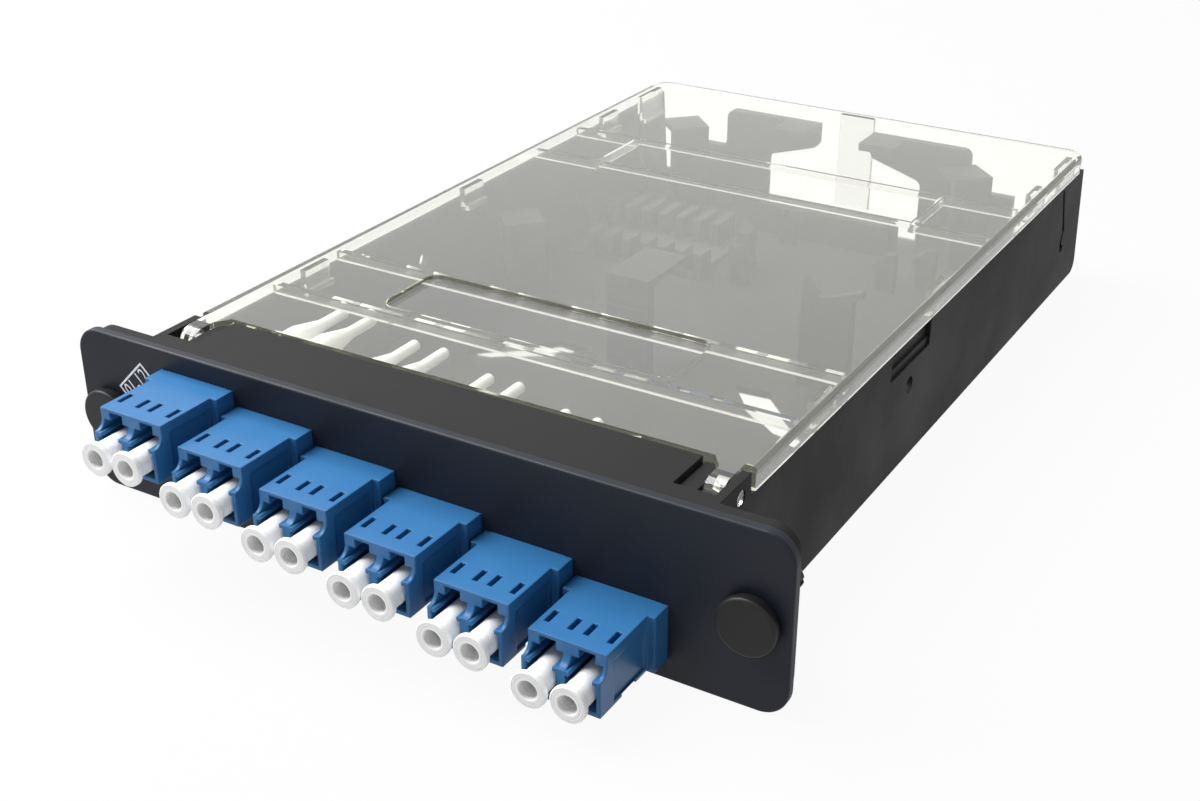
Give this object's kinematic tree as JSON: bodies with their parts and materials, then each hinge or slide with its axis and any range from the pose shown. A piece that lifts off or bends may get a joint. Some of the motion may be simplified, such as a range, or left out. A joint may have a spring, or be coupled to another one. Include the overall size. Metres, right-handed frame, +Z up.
{
  "type": "fibre cassette",
  "caption": "Fibre splice cassette: black tray with a hinged clear lid, stepped blue duplex adapters with pull-out dust caps on the faceplate, and a push-pull latch at each end.",
  "frame": {"origin": "on the seat, the rear face of the tray flange, midway between the two latches", "axes": "+X across the faceplate to the right as seen from the ports, +Y from the ports to the rear of the tray, +Z up through the lid"},
  "size_m": [0.13, 0.1947, 0.029],
  "materials": {
    "faceplate": "satin",
    "tray": "fine grain",
    "splice_holder": "matt",
    "lid": "clear polycarbonate",
    "latch_grommet": "satin",
    "latch_plunger": "satin",
    "adapter": "semi-gloss",
    "alignment_sleeve": "polished",
    "dust_cap": "matt",
    "connector": "semi-gloss",
    "boot": "matt",
    "ferrule": "polished"
  },
  "bodies": {
    "housing": {"faceplate": "faceplate", "tray": "tray", "splice_holder": "splice_holder", "latch_grommet_left": "latch_grommet", "latch_grommet_right": "latch_grommet", "adapter_1": "adapter", "alignment_sleeves_1": "alignment_sleeve", "adapter_2": "adapter", "alignment_sleeves_2": "alignment_sleeve", "adapter_3": "adapter", "alignment_sleeves_3": "alignment_sleeve", "adapter_4": "adapter", "alignment_sleeves_4": "alignment_sleeve", "adapter_5": "adapter", "alignment_sleeves_5": "alignment_sleeve", "adapter_6": "adapter", "alignment_sleeves_6": "alignment_sleeve", "connector_01": "connector", "boot_01": "boot", "connector_02": "connector", "boot_02": "boot", "connector_03": "connector", "boot_03": "boot", "connector_04": "connector", "boot_04": "boot", "connector_05": "connector", "boot_05": "boot", "connector_06": "connector", "boot_06": "boot", "connector_07": "connector", "boot_07": "boot", "connector_08": "connector", "boot_08": "boot", "connector_09": "connector", "boot_09": "boot", "connector_10": "connector", "boot_10": "boot", "connector_11": "connector", "boot_11": "boot", "connector_12": "connector", "boot_12": "boot", "ferrules": "ferrule"},
    "lid": {"lid": "lid"},
    "plunger_left": {"latch_plunger_left": "latch_plunger"},
    "plunger_right": {"latch_plunger_right": "latch_plunger"},
    "dust_cap_01": {"dust_cap_01": "dust_cap"},
    "dust_cap_02": {"dust_cap_02": "dust_cap"},
    "dust_cap_03": {"dust_cap_03": "dust_cap"},
    "dust_cap_04": {"dust_cap_04": "dust_cap"},
    "dust_cap_05": {"dust_cap_05": "dust_cap"},
    "dust_cap_06": {"dust_cap_06": "dust_cap"},
    "dust_cap_07": {"dust_cap_07": "dust_cap"},
    "dust_cap_08": {"dust_cap_08": "dust_cap"},
    "dust_cap_09": {"dust_cap_09": "dust_cap"},
    "dust_cap_10": {"dust_cap_10": "dust_cap"},
    "dust_cap_11": {"dust_cap_11": "dust_cap"},
    "dust_cap_12": {"dust_cap_12": "dust_cap"}
  },
  "joints": [
    {"name": "lid_hinge", "type": "hinge", "parent": "housing", "child": "lid", "pos_m": [0, 0.0066, 0.0114], "axis": [1, 0, 0], "range_deg": [0, 105]},
    {"name": "plunger_left_pull", "type": "slide", "parent": "housing", "child": "plunger_left", "axis": [0, -1, 0], "range_m": [0, 0.0035]},
    {"name": "plunger_right_pull", "type": "slide", "parent": "housing", "child": "plunger_right", "axis": [0, -1, 0], "range_m": [0, 0.0035]},
    {"name": "dust_cap_01_pull", "type": "slide", "parent": "housing", "child": "dust_cap_01", "axis": [0, -1, 0], "range_m": [0, 0.014]},
    {"name": "dust_cap_02_pull", "type": "slide", "parent": "housing", "child": "dust_cap_02", "axis": [0, -1, 0], "range_m": [0, 0.014]},
    {"name": "dust_cap_03_pull", "type": "slide", "parent": "housing", "child": "dust_cap_03", "axis": [0, -1, 0], "range_m": [0, 0.014]},
    {"name": "dust_cap_04_pull", "type": "slide", "parent": "housing", "child": "dust_cap_04", "axis": [0, -1, 0], "range_m": [0, 0.014]},
    {"name": "dust_cap_05_pull", "type": "slide", "parent": "housing", "child": "dust_cap_05", "axis": [0, -1, 0], "range_m": [0, 0.014]},
    {"name": "dust_cap_06_pull", "type": "slide", "parent": "housing", "child": "dust_cap_06", "axis": [0, -1, 0], "range_m": [0, 0.014]},
    {"name": "dust_cap_07_pull", "type": "slide", "parent": "housing", "child": "dust_cap_07", "axis": [0, -1, 0], "range_m": [0, 0.014]},
    {"name": "dust_cap_08_pull", "type": "slide", "parent": "housing", "child": "dust_cap_08", "axis": [0, -1, 0], "range_m": [0, 0.014]},
    {"name": "dust_cap_09_pull", "type": "slide", "parent": "housing", "child": "dust_cap_09", "axis": [0, -1, 0], "range_m": [0, 0.014]},
    {"name": "dust_cap_10_pull", "type": "slide", "parent": "housing", "child": "dust_cap_10", "axis": [0, -1, 0], "range_m": [0, 0.014]},
    {"name": "dust_cap_11_pull", "type": "slide", "parent": "housing", "child": "dust_cap_11", "axis": [0, -1, 0], "range_m": [0, 0.014]},
    {"name": "dust_cap_12_pull", "type": "slide", "parent": "housing", "child": "dust_cap_12", "axis": [0, -1, 0], "range_m": [0, 0.014]}
  ]
}
